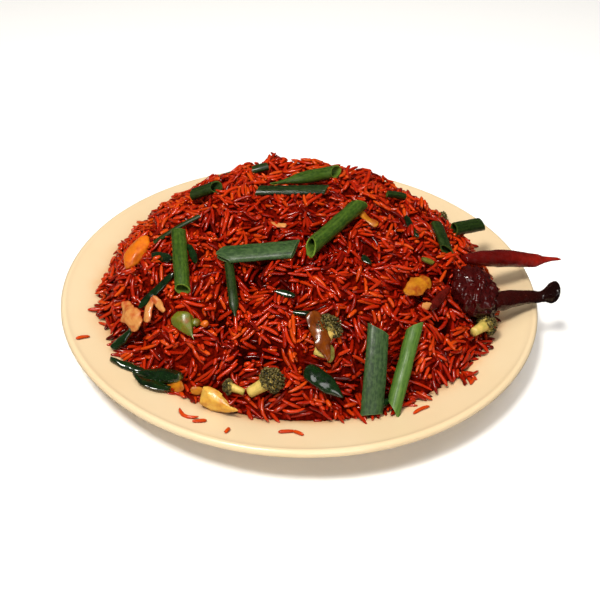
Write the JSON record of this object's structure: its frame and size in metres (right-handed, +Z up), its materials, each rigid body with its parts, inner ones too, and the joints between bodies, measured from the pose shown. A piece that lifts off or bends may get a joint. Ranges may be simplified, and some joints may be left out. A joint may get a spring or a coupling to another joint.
{
  "type": "plate of vegetable fried rice",
  "caption": "Round cream dinner plate heaped with chilli-red fried rice, topped with cut spring onion greens, broccoli, capsicum and dried red chillies.",
  "frame": {"origin": "centre of the plate's foot, on the plane that it stands on", "axes": "+Z up; -Y towards the side that is served and pictured; +X to the right of that side, where the whole dried chillies point"},
  "size_m": [0.2743, 0.26, 0.0759],
  "materials": {
    "plate": "smooth cream melamine with a soft gloss",
    "rice": "oily chilli-red cooked grains",
    "spring_onion": "waxy dark to mid green leaf with fine lengthwise veins",
    "capsicum": "wet, glossy dark green skin with pale inner flesh",
    "broccoli": "dark green buds on a pale yellow-green stalk",
    "pale_vegetable": "cream to tan cooked flesh, moist and slightly see-through",
    "carrot": "bright orange cooked flesh",
    "bean": "olive to yellow-green cooked flesh",
    "dried_chilli": "wrinkled dark red to maroon skin with a hard gloss"
  },
  "bodies": {
    "root": {"plate": "plate", "rice": "rice", "chilli_crumpled": "dried_chilli", "chilli_upper": "dried_chilli", "chilli_lower": "dried_chilli", "chilli_strip": "dried_chilli", "chilli_rag": "dried_chilli", "onion_green_crest_tube": "spring_onion", "onion_green_centre_tube": "spring_onion", "onion_green_left_tube": "spring_onion", "onion_green_middle_leaf": "spring_onion", "onion_green_front_leaf": "spring_onion", "onion_green_front_tube": "spring_onion", "onion_green_crest_strip": "spring_onion", "onion_green_middle_tail": "spring_onion", "onion_green_right_tube": "spring_onion", "onion_green_right_leaf": "spring_onion", "onion_green_back_left": "spring_onion", "onion_green_back_bit": "spring_onion", "onion_green_right_bit": "spring_onion", "onion_green_left_thread": "spring_onion", "onion_green_rear_tube": "spring_onion", "onion_green_rear_leaf": "spring_onion", "broccoli_front": "broccoli", "broccoli_front_small": "broccoli", "broccoli_centre": "broccoli", "broccoli_right": "broccoli", "broccoli_rear": "broccoli", "cauliflower_front": "pale_vegetable", "broccoli_centre_stem": "broccoli", "bean_small": "bean", "carrot_left": "carrot", "carrot_cube": "carrot", "carrot_rear": "carrot", "bean_left": "bean", "capsicum_left_diagonal": "capsicum", "capsicum_left_upper": "capsicum", "capsicum_left_upper_arm": "capsicum", "capsicum_left_lower_arm": "capsicum", "capsicum_front_fold": "capsicum", "capsicum_front_fold_under": "capsicum", "capsicum_front_gloss": "capsicum", "capsicum_front_dark": "capsicum", "capsicum_middle": "capsicum", "capsicum_centre_strip": "capsicum", "capsicum_centre_dark": "capsicum", "bean_right": "bean", "capsicum_right_strip": "capsicum", "capsicum_left_inner": "capsicum", "capsicum_rear_strip": "capsicum", "onion_left_petal": "pale_vegetable", "onion_left_slice": "pale_vegetable", "onion_left_inner": "pale_vegetable", "cabbage_front_left": "pale_vegetable", "cabbage_front_small": "pale_vegetable", "cabbage_centre": "pale_vegetable", "onion_top_slice": "pale_vegetable", "onion_right_petal": "pale_vegetable", "onion_right_small": "pale_vegetable", "onion_rear_petal": "pale_vegetable"}
  },
  "joints": []
}
